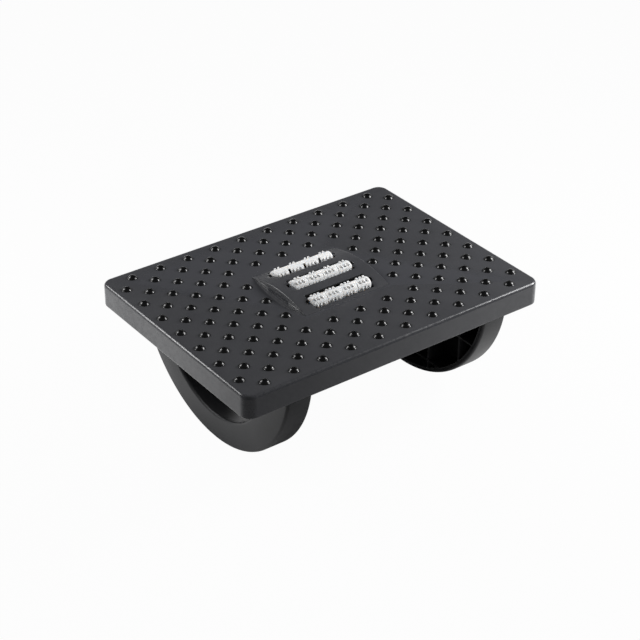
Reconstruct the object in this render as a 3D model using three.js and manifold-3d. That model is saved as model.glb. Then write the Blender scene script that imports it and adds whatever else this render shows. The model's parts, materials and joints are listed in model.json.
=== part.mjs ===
// Tilting under-desk footrest: a studded platform on two curved rockers, with three
// free-turning massage rollers in an arched panel at its middle.
// Millimetres. +Z is up, +X runs along the platform, -Y is the edge nearer the sitter.
// The origin is on the floor under the middle of the footrest.
import * as THREE from 'three';
import { mergeVertices } from 'three/addons/utils/BufferGeometryUtils.js';
import Module from 'manifold-3d';

const wasm = await Module();
wasm.setup();

// Fits shared by every piece
const seatGap = 0.3;
const cutOverrun = 2;

// Platform: deck, skirt and the ribs under it
const platformLength = 453;
const platformDepth = 330;
const deckHeight = 170;
const skirtDepth = 31;
const deckWall = 3;
const skirtWall = 3;
const platformCornerRadius = 14.5;
const deckEdgeFillet = 4.5;
const ribWall = 2;
const ribReach = 16;
const crossRibSpacing = 44;
const longRibSpacing = 45;
const crossRibPairs = 3;
const longRibPairs = 2;

// Domed studs on the deck, in two interleaved square sets
const studPitch = 42;
const studRadius = 6.4;
const studHeight = 4;
const studShoulderRadius = 4.1;
const studShoulderHeight = 2.75;
const studEdgeGap = 2;
const studPanelGap = 6;

// Rockers: one moulding, used at both ends
const rockerWidth = 36;
const rockerInset = 57.5;
const footFlat = 14;
const treadWall = 7;
const rockerSideWall = 3.5;
const rockerEdgeFillet = 4;
const scoopRadius = 112.3;
const scoopDrop = 21;
const scoopWall = 3;
const rockerRibWall = 2.2;
const rockerRibSpacing = 59.5;
const rockerRibPairs = 2;
const upperShelfDrop = 74;
const lowerShelfDrop = 141;
const railWall = 3.5;
const railDepthBelowRibs = 0.5;
const flangeReach = 20;
const flangeLength = 270;
const flangeCornerRadius = 8;
const flangeScrewSpacing = 200;
const flangeScrewInset = 9;

// Arched panel that carries the rollers
const panelEndBorder = 14;
const panelSideBorder = 5;
const archRise = 9.9;
const panelWall = 2.5;
const panelEdgeFillet = 1.5;
const panelFlangeReach = 8;
const panelFlangeWall = 2.5;
const slotEndGap = 0.75;
const slotSideGap = 2;
const slotBridge = 14;
const slotCornerRadius = 1.5;
const notchReach = 6;
const notchWidth = 7;
const bearingWall = 4;

// Massage rollers and the pins that they turn on
const rollerLength = 89.5;
const rollerRadius = 8.9;
const rollerSink = 4.3;
const sectionCount = 4;
const sectionPitch = 23.5;
const grooveWidth = 1.6;
const grooveDepth = 1;
const rollerEndRound = 1.4;
const finHeight = 2.1;
const finLength = 4.2;
const finWidth = 2.2;
const finTopLength = 2.8;
const finTopWidth = 1.4;
const finRoot = 0.8;
const finSpacing = 5.3;
const windowWidth = 3.8;
const windowLength = 8.4;
const axleRadius = 2;
const axleChamfer = 0.5;
const axleRunGap = 0.1;
const saddleWidth = 3.5;
const saddleLength = 8;

// Tray under the panel, which shuts the axles in from below
const trayWall = 2.5;
const trayRunGap = 0.88;
const trayRimWall = 3;
const trayRimInset = 1;
const trayMargin = 7.5;
const trayCornerRadius = 6;
const trayScrewOffset = 9;
const trayScrewSpacing = 100;

// Screws: cross recess, all driven from below
const screwHeadHeight = 2.4;
const screwTip = 1;
const recessWidth = 0.9;
const recessDepth = 1.2;
const bossWall = 2.6;
const pilotSpare = 1;
const rockerScrew = { shankRadius: 1.9, headRadius: 3.9, length: 15, recess: 4.2 };
const trayScrew = { shankRadius: 1.4, headRadius: 2.9, length: 8, recess: 3.2 };

// Facets on round stretches
const cornerSteps = 3;
const treadSteps = 9;
const archSteps = 5;
const studSides = 8;
const rollerSides = 16;
const pinSides = 12;
const screwSides = 8;
const bossSides = 10;
const wallSides = 72;
const filletSteps = 2;

// Heights and places that follow from the sizes above
const halfLength = platformLength / 2;
const halfDepth = platformDepth / 2;
const skirtFoot = deckHeight - skirtDepth;
const deckUnderside = deckHeight - deckWall;
const ribFoot = deckUnderside - ribReach;
const railTop = ribFoot - railDepthBelowRibs;
const railUnderside = railTop - railWall;
const rockerOuter = halfLength - rockerInset;
const rockerInner = rockerOuter - rockerWidth;
const rockerMiddle = rockerOuter - rockerWidth / 2;
const cavityHalfDepth = halfDepth - skirtWall;
const tipRadius = rollerRadius + finHeight;
const slotLength = rollerLength + 2 * slotEndGap;
const slotWidth = 2 * (tipRadius + slotSideGap);
const slotPitch = slotWidth + slotBridge;
const notchHalf = slotLength / 2 + notchReach;
const panelHalfLength = notchHalf + panelEndBorder;
const panelHalfDepth = slotPitch + slotWidth / 2 + panelSideBorder;
const panelFoot = deckUnderside - seatGap - panelFlangeWall;
const panelFlangeHalfLength = panelHalfLength + panelFlangeReach;
const panelFlangeHalfDepth = panelHalfDepth + panelFlangeReach;
const slotHalf = slotLength / 2;
const axleHalf = notchHalf + bearingWall + seatGap + saddleWidth;

// The arch of the panel passes through the deck at both edges
const archRadius = (panelHalfDepth ** 2 + archRise ** 2) / (2 * archRise);
const archCentre = deckHeight + archRise - archRadius;

// The tread meets the skirt's faces, and ends at a small flat that the footrest settles on
const halfFlat = footFlat / 2;
const treadCentre = (halfDepth ** 2 + skirtFoot ** 2 - halfFlat ** 2) / (2 * skirtFoot);
const treadRadius = Math.hypot(treadCentre, halfFlat);
const scoopCentre = deckHeight - scoopDrop;

function rollerHeight(y) {
  return archCentre + Math.sqrt((archRadius - rollerSink) ** 2 - y ** 2);
}

const trayTop = rollerHeight(slotPitch) - tipRadius - trayRunGap;
const trayFoot = trayTop - trayWall;
const trayHalfLength = panelFlangeHalfLength + trayScrewOffset + trayMargin;
const trayHalfDepth = panelFlangeHalfDepth + trayRimInset;
const trayScrewX = panelFlangeHalfLength + trayScrewOffset;
const flangeScrewX = rockerWidth / 2 + flangeReach - flangeScrewInset;

// Turns a three.js geometry into a solid that can be cut and joined
function solidOf(geometry) {
  geometry.deleteAttribute('normal');
  geometry.deleteAttribute('uv');
  const merged = mergeVertices(geometry);
  const corners = merged.index.array;
  const kept = [];
  for (let i = 0; i < corners.length; i += 3) {
    const [a, b, c] = [corners[i], corners[i + 1], corners[i + 2]];
    if (a !== b && b !== c && c !== a) {
      kept.push(a, b, c);
    }
  }
  return new wasm.Manifold(new wasm.Mesh({
    numProp: 3,
    vertProperties: new Float32Array(merged.attributes.position.array),
    triVerts: new Uint32Array(kept),
  }));
}

function meshOf(name, solid, material) {
  const result = solid.getMesh();
  const geometry = new THREE.BufferGeometry();
  geometry.setAttribute('position', new THREE.BufferAttribute(result.vertProperties, 3));
  geometry.setIndex(new THREE.BufferAttribute(result.triVerts, 1));
  geometry.computeVertexNormals();
  const mesh = new THREE.Mesh(geometry, material);
  mesh.name = name;
  return mesh;
}

function joined(solids) {
  return solids.reduce((whole, next) => whole.add(next));
}

// Box between two opposite corners
function block(low, high) {
  const size = high.map((value, axis) => value - low[axis]);
  const geometry = new THREE.BoxGeometry(...size);
  geometry.translate(...high.map((value, axis) => value - size[axis] / 2));
  return solidOf(geometry);
}

// Upright round post or hole between two heights
function post(x, y, radius, foot, top, sides) {
  const geometry = new THREE.CylinderGeometry(radius, radius, top - foot, sides);
  geometry.rotateX(Math.PI / 2);
  geometry.translate(x, y, (top + foot) / 2);
  return solidOf(geometry);
}

// Round bar along X
function barAlongX(y, z, radius, start, end, sides) {
  const geometry = new THREE.CylinderGeometry(radius, radius, end - start, sides);
  geometry.rotateZ(Math.PI / 2);
  geometry.translate((start + end) / 2, y, z);
  return solidOf(geometry);
}

// Plan outline pulled up between two heights
function slab(shape, foot, top) {
  const options = { depth: top - foot, bevelEnabled: false, curveSegments: cornerSteps };
  const geometry = new THREE.ExtrudeGeometry(shape, options);
  geometry.translate(0, 0, foot);
  return solidOf(geometry);
}

// Outline in Y and Z pulled along X, with the edges at both ends rounded by a fillet
function profileAlongX(shape, steps, start, end, fillet) {
  const geometry = new THREE.ExtrudeGeometry(shape, {
    depth: end - start - 2 * fillet,
    curveSegments: steps,
    bevelEnabled: fillet > 0,
    bevelSize: fillet,
    bevelThickness: fillet,
    bevelOffset: -fillet,
    bevelSegments: filletSteps,
  });
  geometry.translate(0, 0, start + fillet);
  const axes = [new THREE.Vector3(0, 1, 0), new THREE.Vector3(0, 0, 1), new THREE.Vector3(1, 0, 0)];
  geometry.applyMatrix4(new THREE.Matrix4().makeBasis(...axes));
  return solidOf(geometry);
}

function roundedRectangle(halfX, halfY, radius) {
  const shape = new THREE.Shape();
  shape.absarc(halfX - radius, halfY - radius, radius, 0, Math.PI / 2);
  shape.absarc(radius - halfX, halfY - radius, radius, Math.PI / 2, Math.PI);
  shape.absarc(radius - halfX, radius - halfY, radius, Math.PI, 1.5 * Math.PI);
  shape.absarc(halfX - radius, radius - halfY, radius, 1.5 * Math.PI, 2 * Math.PI);
  return shape;
}

function fourCorners(x, y) {
  return [[-x, -y], [x, -y], [x, y], [-x, y]];
}

// Centres of the studs: two square sets, half a pitch apart, clear of the edge and the panel
function studCentres() {
  const reachX = halfLength - studRadius - deckEdgeFillet - studEdgeGap;
  const reachY = halfDepth - studRadius - deckEdgeFillet - studEdgeGap;
  const clearX = panelHalfLength + studRadius + studPanelGap;
  const clearY = panelHalfDepth + studRadius + studPanelGap;
  const half = studPitch / 2;
  const lastColumn = Math.floor(reachX / half);
  const lastRow = Math.floor(reachY / half);
  const centres = [];
  for (let column = -lastColumn; column <= lastColumn; column += 1) {
    for (let row = -lastRow; row <= lastRow; row += 1) {
      const x = column * half;
      const y = row * half;
      const sameSet = (column - row) % 2 === 0;
      const onPanel = Math.abs(x) < clearX && Math.abs(y) < clearY;
      if (sameSet && !onPanel) {
        centres.push([x, y]);
      }
    }
  }
  return centres;
}

function stud(x, y) {
  const root = deckWall / 2;
  const geometry = new THREE.LatheGeometry([
    new THREE.Vector2(0, -root),
    new THREE.Vector2(studRadius, -root),
    new THREE.Vector2(studRadius, 0),
    new THREE.Vector2(studShoulderRadius, studShoulderHeight),
    new THREE.Vector2(0, studHeight),
  ], studSides);
  geometry.rotateX(Math.PI / 2);
  geometry.translate(x, y, deckHeight);
  return solidOf(geometry);
}

// Places where screws go up into the platform, with the height of each boss's foot
function bossPlaces() {
  const places = [];
  for (const side of [-1, 1]) {
    for (const [x, y] of fourCorners(flangeScrewX, flangeScrewSpacing / 2)) {
      places.push({
        x: side * rockerMiddle + x,
        y,
        foot: railTop + seatGap,
        holds: 'rocker',
        screw: rockerScrew,
      });
    }
  }
  for (const [x, y] of fourCorners(trayScrewX, trayScrewSpacing / 2)) {
    places.push({ x, y, foot: trayTop + seatGap, holds: 'tray', screw: trayScrew });
  }
  return places;
}

function makePlatform() {
  const outline = roundedRectangle(halfLength, halfDepth, platformCornerRadius);
  const outside = new THREE.ExtrudeGeometry(outline, {
    depth: skirtDepth,
    curveSegments: cornerSteps,
    bevelSize: deckEdgeFillet,
    bevelThickness: deckEdgeFillet,
    bevelOffset: -deckEdgeFillet,
    bevelSegments: filletSteps,
  });
  outside.translate(0, 0, skirtFoot - deckEdgeFillet);
  const below = block(
    [-platformLength, -platformDepth, skirtFoot - skirtDepth],
    [platformLength, platformDepth, skirtFoot],
  );
  const body = solidOf(outside).subtract(below);
  const cavityHalfLength = halfLength - skirtWall;
  const cavityRadius = platformCornerRadius - skirtWall;
  const cavity = slab(
    roundedRectangle(cavityHalfLength, cavityHalfDepth, cavityRadius),
    skirtFoot - cutOverrun,
    deckUnderside,
  );

  const ribs = [];
  const ribTop = deckHeight - deckWall / 2;
  const ribEndX = halfLength - skirtWall / 2;
  const ribEndY = halfDepth - skirtWall / 2;
  const half = ribWall / 2;
  for (let step = 0; step < crossRibPairs; step += 1) {
    const x = trayHalfLength + trayMargin + step * crossRibSpacing;
    for (const place of [-x, x]) {
      ribs.push(block([place - half, -ribEndY, ribFoot], [place + half, ribEndY, ribTop]));
    }
  }
  for (let step = 0; step < longRibPairs; step += 1) {
    const y = trayHalfDepth + trayMargin + step * longRibSpacing;
    for (const place of [-y, y]) {
      ribs.push(block([-ribEndX, place - half, ribFoot], [ribEndX, place + half, ribTop]));
    }
  }

  const bosses = [];
  const pilots = [];
  for (const { x, y, foot, screw } of bossPlaces()) {
    const bore = screw.shankRadius + seatGap;
    const top = foot + screw.length + pilotSpare;
    bosses.push(post(x, y, bore + bossWall, foot, ribTop, bossSides));
    pilots.push(post(x, y, bore, foot - cutOverrun, Math.min(top, deckUnderside), bossSides));
  }

  const windowX = panelHalfLength + seatGap;
  const windowY = panelHalfDepth + seatGap;
  const window = block(
    [-windowX, -windowY, deckUnderside - cutOverrun],
    [windowX, windowY, deckHeight + cutOverrun],
  );
  const studs = studCentres().map(([x, y]) => stud(x, y));
  const inside = joined([...ribs, ...bosses]).intersect(body);
  return joined([body.subtract(cavity), inside, ...studs]).subtract(joined([...pilots, window]));
}

// The rocker stands at the +X end, and is turned half round for the other end
function makeRocker() {
  const skirtAngle = Math.asin((skirtFoot - treadCentre) / treadRadius);
  const flatAngle = Math.asin(halfFlat / treadRadius);
  const straightDown = 1.5 * Math.PI;
  const trimHeight = railTop + rockerEdgeFillet + cutOverrun;
  const whole = new THREE.Shape();
  whole.absarc(0, treadCentre, treadRadius, Math.PI - skirtAngle, straightDown - flatAngle);
  whole.absarc(0, treadCentre, treadRadius, straightDown + flatAngle, 2 * Math.PI + skirtAngle);
  whole.lineTo(halfDepth, trimHeight);
  whole.lineTo(-halfDepth, trimHeight);
  whole.closePath();
  const railAngle = Math.asin((railUnderside - scoopCentre) / scoopRadius);
  const scoop = new THREE.Path();
  scoop.absarc(0, scoopCentre, scoopRadius, Math.PI - railAngle, 2 * Math.PI + railAngle);
  scoop.closePath();
  const pierced = whole.clone();
  pierced.holes.push(scoop);

  // The tread is rounded along both edges, the scoop along its outer one only
  const pastFillet = rockerEdgeFillet + cutOverrun;
  const scooped = profileAlongX(
    pierced,
    treadSteps,
    rockerInner - pastFillet,
    rockerOuter,
    rockerEdgeFillet,
  );
  const rounded = profileAlongX(
    whole,
    treadSteps,
    rockerInner,
    rockerOuter + pastFillet,
    rockerEdgeFillet,
  );
  const frame = scooped.intersect(rounded);
  const railHalfDepth = cavityHalfDepth - seatGap;
  const farOut = rockerOuter + cutOverrun;
  const farUp = deckHeight + skirtDepth;
  const insideCut = block([0, -platformDepth, -cutOverrun], [rockerInner, platformDepth, farUp]);
  const topCut = block([0, -platformDepth, railTop], [farOut, platformDepth, farUp]);
  const rebates = [-1, 1].map((side) => block(
    [0, side < 0 ? -platformDepth : railHalfDepth, skirtFoot - seatGap],
    [farOut, side < 0 ? -railHalfDepth : platformDepth, farUp],
  ));
  const bare = frame.subtract(joined([insideCut, topCut, ...rebates]));

  const pocketStart = rockerInner - cutOverrun;
  const pocketEnd = rockerOuter - rockerSideWall;
  const pocketHalfDepth = railHalfDepth - treadWall;
  const pocketLimits = block(
    [pocketStart, -pocketHalfDepth, 0],
    [pocketEnd, pocketHalfDepth, railUnderside],
  );
  const treadBack = treadRadius - treadWall;
  const scoopBack = scoopRadius + scoopWall;
  const pockets = barAlongX(0, treadCentre, treadBack, pocketStart, pocketEnd, wallSides)
    .intersect(pocketLimits)
    .subtract(barAlongX(0, scoopCentre, scoopBack, 0, farOut, wallSides));
  const half = rockerRibWall / 2;
  const ribs = [];
  for (let step = -rockerRibPairs; step <= rockerRibPairs; step += 1) {
    const y = step * rockerRibSpacing;
    ribs.push(block([0, y - half, -cutOverrun], [farOut, y + half, farUp]));
  }
  for (const drop of [upperShelfDrop, lowerShelfDrop]) {
    const z = deckHeight - drop;
    ribs.push(block([0, -platformDepth, z - half], [farOut, platformDepth, z + half]));
  }
  const channel = bare.subtract(pockets.subtract(joined(ribs)));

  const flangeHalfWidth = rockerWidth / 2 + flangeReach;
  const flangeOutline = roundedRectangle(flangeHalfWidth, flangeLength / 2, flangeCornerRadius);
  const flange = slab(flangeOutline, railUnderside, railTop).translate([rockerMiddle, 0, 0]);
  const holes = fourCorners(flangeScrewX, flangeScrewSpacing / 2).map(([x, y]) => {
    const radius = rockerScrew.shankRadius + seatGap;
    const foot = railUnderside - cutOverrun;
    return post(rockerMiddle + x, y, radius, foot, railTop + cutOverrun, bossSides);
  });
  return channel.add(flange).subtract(joined(holes));
}

function archOutline(halfWidth, radius, foot) {
  const angle = Math.asin(halfWidth / radius);
  const outline = new THREE.Shape();
  outline.absarc(0, archCentre, radius, Math.PI / 2 + angle, Math.PI / 2 - angle, true);
  outline.lineTo(halfWidth, foot);
  outline.lineTo(-halfWidth, foot);
  outline.closePath();
  return outline;
}

function makePanel() {
  const arch = archOutline(panelHalfDepth, archRadius, panelFoot);
  const cover = profileAlongX(arch, archSteps, -panelHalfLength, panelHalfLength, panelEdgeFillet);
  const flange = block(
    [-panelFlangeHalfLength, -panelFlangeHalfDepth, panelFoot],
    [panelFlangeHalfLength, panelFlangeHalfDepth, panelFoot + panelFlangeWall],
  );
  const hollowHalfLength = panelHalfLength - panelWall;
  const hollowHalfDepth = panelHalfDepth - panelWall;
  const under = archOutline(hollowHalfDepth, archRadius - panelWall, panelFoot - cutOverrun);
  const hollow = profileAlongX(under, archSteps, -hollowHalfLength, hollowHalfLength, 0);
  const deep = archOutline(hollowHalfDepth, archRadius - panelWall / 2, trayTop + seatGap);
  const bearings = [-1, 1].map((side) => {
    const ends = [side * notchHalf, side * (notchHalf + bearingWall)];
    return profileAlongX(deep, archSteps, Math.min(...ends), Math.max(...ends), 0);
  });

  const cuts = [];
  for (const y of [-slotPitch, 0, slotPitch]) {
    const foot = panelFoot - cutOverrun;
    const top = deckHeight + archRise + cutOverrun;
    const slot = roundedRectangle(slotHalf, slotWidth / 2, slotCornerRadius);
    const notch = roundedRectangle(notchHalf, notchWidth / 2, slotCornerRadius);
    cuts.push(slab(slot, foot, top).translate([0, y, 0]));
    cuts.push(slab(notch, foot, top).translate([0, y, 0]));
    const radius = axleRadius + seatGap;
    const end = axleHalf + seatGap;
    cuts.push(barAlongX(y, rollerHeight(y), radius, -end, end, pinSides));
    cuts.push(block([-end, y - radius, trayFoot], [end, y + radius, rollerHeight(y)]));
  }
  return joined([cover.add(flange).subtract(hollow), ...bearings]).subtract(joined(cuts));
}

function makeTray() {
  const outline = roundedRectangle(trayHalfLength, trayHalfDepth, trayCornerRadius);
  const plate = slab(outline, trayFoot, trayTop);
  const rimTop = panelFoot - seatGap;
  const rimX = panelFlangeHalfLength - trayRimInset;
  const rimY = panelFlangeHalfDepth - trayRimInset;
  const rimRoot = trayTop - trayWall / 2;
  const rim = block([-rimX, -rimY, rimRoot], [rimX, rimY, rimTop]).subtract(block(
    [trayRimWall - rimX, trayRimWall - rimY, trayFoot],
    [rimX - trayRimWall, rimY - trayRimWall, rimTop + cutOverrun],
  ));
  const saddles = [];
  for (const y of [-slotPitch, 0, slotPitch]) {
    const top = rollerHeight(y) - axleRadius - seatGap;
    for (const side of [-1, 1]) {
      const ends = [side * (axleHalf - saddleWidth), side * axleHalf];
      saddles.push(block(
        [Math.min(...ends), y - saddleLength / 2, rimRoot],
        [Math.max(...ends), y + saddleLength / 2, top],
      ));
    }
  }
  const holes = fourCorners(trayScrewX, trayScrewSpacing / 2).map(([x, y]) => {
    const radius = trayScrew.shankRadius + seatGap;
    return post(x, y, radius, trayFoot - cutOverrun, trayTop + cutOverrun, bossSides);
  });
  return joined([plate, rim, ...saddles]).subtract(joined(holes));
}

function makeAxle() {
  const geometry = new THREE.LatheGeometry([
    new THREE.Vector2(0, -axleHalf),
    new THREE.Vector2(axleRadius - axleChamfer, -axleHalf),
    new THREE.Vector2(axleRadius, axleChamfer - axleHalf),
    new THREE.Vector2(axleRadius, axleHalf - axleChamfer),
    new THREE.Vector2(axleRadius - axleChamfer, axleHalf),
    new THREE.Vector2(0, axleHalf),
  ], pinSides);
  geometry.rotateZ(-Math.PI / 2);
  return solidOf(geometry);
}

// Rows of fins round one roller: the angle from the window row, and the fins in each section
const finRows = [
  { angle: 0, count: 3 },
  { angle: 97, count: 2 },
  { angle: 150, count: 3 },
  { angle: 208, count: 3 },
  { angle: 264, count: 3 },
];

function fin(x, angle) {
  const height = finHeight + finRoot;
  const geometry = new THREE.CylinderGeometry(Math.SQRT1_2, Math.SQRT1_2, height, 4);
  geometry.rotateY(Math.PI / 4);
  const corners = geometry.attributes.position;
  for (let i = 0; i < corners.count; i += 1) {
    const atTop = corners.getY(i) > 0;
    corners.setX(i, corners.getX(i) * (atTop ? finTopWidth : finWidth));
    corners.setZ(i, corners.getZ(i) * (atTop ? finTopLength : finLength));
  }
  geometry.translate(0, rollerRadius - finRoot + height / 2, 0);
  geometry.rotateX(angle);
  geometry.translate(x, 0, 0);
  return solidOf(geometry);
}

// Turned so that the window row faces the given angle, from the sitter's side upwards.
// A reversed roller is put in the other way round, end for end.
function makeRoller(windowAngle, reversed) {
  const half = rollerLength / 2;
  const bore = (axleRadius + axleRunGap) / Math.cos(Math.PI / pinSides);
  const profile = [new THREE.Vector2(bore, -half)];
  profile.push(new THREE.Vector2(rollerRadius - rollerEndRound, -half));
  profile.push(new THREE.Vector2(rollerRadius, rollerEndRound - half));
  for (let index = 1; index < sectionCount; index += 1) {
    const middle = (index - sectionCount / 2) * sectionPitch;
    profile.push(new THREE.Vector2(rollerRadius, middle - grooveWidth / 2));
    profile.push(new THREE.Vector2(rollerRadius - grooveDepth, middle));
    profile.push(new THREE.Vector2(rollerRadius, middle + grooveWidth / 2));
  }
  profile.push(new THREE.Vector2(rollerRadius, half - rollerEndRound));
  profile.push(new THREE.Vector2(rollerRadius - rollerEndRound, half));
  profile.push(new THREE.Vector2(bore, half));
  profile.push(profile[0].clone());
  const core = new THREE.LatheGeometry(profile, rollerSides, Math.PI / rollerSides);
  core.rotateZ(-Math.PI / 2);

  const fins = [];
  for (const { angle, count } of finRows) {
    for (let index = 0; index < sectionCount; index += 1) {
      const middle = (index - (sectionCount - 1) / 2) * sectionPitch;
      for (let place = 0; place < count; place += 1) {
        const x = middle + (place - (count - 1) / 2) * finSpacing;
        fins.push(fin(x, THREE.MathUtils.degToRad(angle)));
      }
    }
  }
  const windows = [];
  for (let index = 1; index < sectionCount; index += 1) {
    const middle = (index - sectionCount / 2) * sectionPitch;
    windows.push(block(
      [middle - windowWidth / 2, 0, -windowLength / 2],
      [middle + windowWidth / 2, tipRadius, windowLength / 2],
    ));
  }
  const finned = joined([solidOf(core), ...fins]).subtract(joined(windows));
  return finned.rotate([0, reversed ? 180 : 0, 0]).rotate([180 - windowAngle, 0, 0]);
}

function makeScrew({ shankRadius, headRadius, length, recess }) {
  const geometry = new THREE.LatheGeometry([
    new THREE.Vector2(0, -screwHeadHeight),
    new THREE.Vector2((headRadius + shankRadius) / 2, -screwHeadHeight),
    new THREE.Vector2(headRadius, 0),
    new THREE.Vector2(shankRadius, 0),
    new THREE.Vector2(shankRadius, length - screwTip),
    new THREE.Vector2(0, length),
  ], screwSides);
  geometry.rotateX(Math.PI / 2);
  const low = -screwHeadHeight - cutOverrun;
  const high = recessDepth - screwHeadHeight;
  const across = block([-recess / 2, -recessWidth / 2, low], [recess / 2, recessWidth / 2, high]);
  const along = block([-recessWidth / 2, -recess / 2, low], [recessWidth / 2, recess / 2, high]);
  return solidOf(geometry).subtract(across.add(along));
}

function finish(color, roughness, metalness) {
  return new THREE.MeshStandardMaterial({ color, roughness, metalness });
}

const footrest = new THREE.Group();
footrest.add(meshOf('platform', makePlatform(), finish('#3c3d40', 0.5, 0)));
footrest.add(meshOf('roller_panel', makePanel(), finish('#353639', 0.45, 0)));
footrest.add(meshOf('roller_tray', makeTray(), finish('#2f3033', 0.6, 0)));

const rocker = makeRocker();
const rightRocker = meshOf('right_rocker', rocker, finish('#414246', 0.5, 0));
const leftRocker = meshOf('left_rocker', rocker, finish('#414246', 0.5, 0));
leftRocker.rotation.z = Math.PI;
footrest.add(rightRocker, leftRocker);

const rollerPlaces = [
  { place: 'front', y: -slotPitch, windowAngle: -92, reversed: false },
  { place: 'middle', y: 0, windowAngle: -154, reversed: false },
  { place: 'back', y: slotPitch, windowAngle: 34, reversed: true },
];
for (const { place, y, windowAngle, reversed } of rollerPlaces) {
  const form = makeRoller(windowAngle, reversed);
  const roller = meshOf(`massage_roller_${place}`, form, finish('#dcdcdb', 0.45, 0));
  const axle = meshOf(`roller_axle_${place}`, makeAxle(), finish('#2a2a2c', 0.35, 0.9));
  const line = new THREE.Group();
  line.position.set(0, y, rollerHeight(y));
  line.add(roller, axle);
  footrest.add(line);
}

const driven = { rocker: 0, tray: 0 };
for (const { x, y, holds, screw } of bossPlaces()) {
  driven[holds] += 1;
  const name = `${holds}_screw_${driven[holds]}`;
  const mesh = meshOf(name, makeScrew(screw), finish('#8f9094', 0.35, 1));
  const seat = holds === 'rocker' ? railUnderside : trayFoot;
  mesh.position.set(x, y, seat - seatGap);
  footrest.add(mesh);
}

export default footrest;
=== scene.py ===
"""Dresses the packed tilting footrest with smooth mouldings, plastics and a plain studio."""

import json
from math import acos, asin, copysign, cos, hypot, pi, radians, sin, sqrt

import bmesh
import bpy
from bpy.props import FloatProperty, FloatVectorProperty, IntProperty, PointerProperty
from mathutils import Matrix, Vector


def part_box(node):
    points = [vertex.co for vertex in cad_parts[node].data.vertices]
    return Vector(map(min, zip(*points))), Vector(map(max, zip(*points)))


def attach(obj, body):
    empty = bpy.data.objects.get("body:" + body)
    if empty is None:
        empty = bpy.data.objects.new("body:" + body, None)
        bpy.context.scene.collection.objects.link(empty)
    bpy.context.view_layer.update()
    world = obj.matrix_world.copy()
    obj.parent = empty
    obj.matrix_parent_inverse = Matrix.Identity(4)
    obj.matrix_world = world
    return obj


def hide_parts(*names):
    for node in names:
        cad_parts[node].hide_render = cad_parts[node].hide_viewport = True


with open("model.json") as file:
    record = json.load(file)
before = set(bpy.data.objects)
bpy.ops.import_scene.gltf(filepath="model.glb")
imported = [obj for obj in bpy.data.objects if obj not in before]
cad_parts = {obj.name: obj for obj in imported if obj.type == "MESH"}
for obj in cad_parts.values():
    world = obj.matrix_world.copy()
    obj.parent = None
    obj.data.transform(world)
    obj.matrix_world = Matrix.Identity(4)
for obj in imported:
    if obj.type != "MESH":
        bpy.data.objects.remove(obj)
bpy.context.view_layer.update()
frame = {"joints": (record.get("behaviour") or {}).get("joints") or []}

bl_info = {
    "name": "Tilting footrest",
    "version": (1, 0, 0),
    "blender": (4, 5, 0),
    "location": "3D View > Sidebar > Footrest",
    "description": "Builds the visible mouldings, rollers, fasteners and studio of a footrest",
    "category": "Object",
}

ROLLER_AXES = {joint["child"]: Vector(joint["pos_m"]) for joint in frame["joints"]}
FIXED_BODY = "footrest"
PLATFORM_LOW, PLATFORM_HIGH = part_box("platform")
TRAY_LOW, TRAY_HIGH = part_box("roller_tray")
AXLE_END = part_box("roller_axle_middle")[1].x
ROLLER_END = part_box("massage_roller_middle")[1].x
SCREW_COUNTS = {"rocker": 8, "tray": 4}
WELD = 1e-6
CAMERA_PLACE = (-1.1342, -1.5301, 1.2957)
SENSOR_WIDTH = 36.0
CAMERA_REACH = (0.05, 50.0)
FLOOR_HALF = 14.0
LIGHT_AIM = Vector((0.0, 0.0, 0.12))
LIGHT_SIZE = 0.42
LIGHTS = {"left_light": (Vector((-0.61, 0.70, 0.715)), 7.3),
          "right_light": (Vector((0.89, -0.37, 0.715)), 14.5)}
# Across the floor, the way in which its mirrored light grows: a painted reflection, which only
# reflections see
PAINTED_REFLECTION_SLOPE = (1.375, 2.6, 0.0)
DUST_COLOUR = (0.42, 0.41, 0.39)
DUST_ROUGHNESS = 0.5
TONE_SCALE = 26.0
PEBBLE_SHARE = 0.6
BUMP_DEPTH = 0.00004
# How far light travels in the rollers' plastic, and how its colours differ in that
GLOW_REACH = 0.008
GLOW_RADIUS = (1.0, 0.95, 0.9)
BOSS_SIDES, AXLE_SIDES, SCREW_SIDES = 24, 32, 24
RAIL_STEPS, TRAY_STEPS = 6, 8
# Turn of each roller's window row, and whether the roller lies turned end for end
ROLLER_TURNS = {"front_roller": (-92.0, False), "middle_roller": (-154.0, False),
                "back_roller": (34.0, True)}
# Angle of each fin row from the window row, and its fins in a section
FIN_ROWS = ((0, 3), (97, 2), (150, 3), (208, 3), (264, 3))
# Share of an end wall's height, and the share of the groove's depth there
GROOVE_LINES = ((0.16, 0.0), (0.24, 1.0), (0.62, 1.0), (0.70, 0.0))
# Points of a slot's quarter up to its field's corner, and to the last one beside that corner
FIELD_TURN, FIELD_LEAVE = 13, 16
# Points of a rocker's section that line its hollow, which get the painted shade of the ribs
HOLLOW = slice(29, 37)


def length(words, metres):
    return FloatProperty(description=words, default=metres, min=0.0, precision=5,
                         subtype="DISTANCE", unit="LENGTH")


def share(words, value):
    return FloatProperty(description=words, default=value, min=0.0, max=1.0, subtype="FACTOR")


def angle(words, degrees):
    return FloatProperty(description=words, default=radians(degrees), subtype="ANGLE",
                         unit="ROTATION")


def number(words, value):
    return FloatProperty(description=words, default=value)


def count(words, value, least):
    return IntProperty(description=words, default=value, min=least)


def colour(words, value):
    return FloatVectorProperty(description=words, default=value, size=3, min=0.0, max=1.0,
                               subtype="COLOR")


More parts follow.
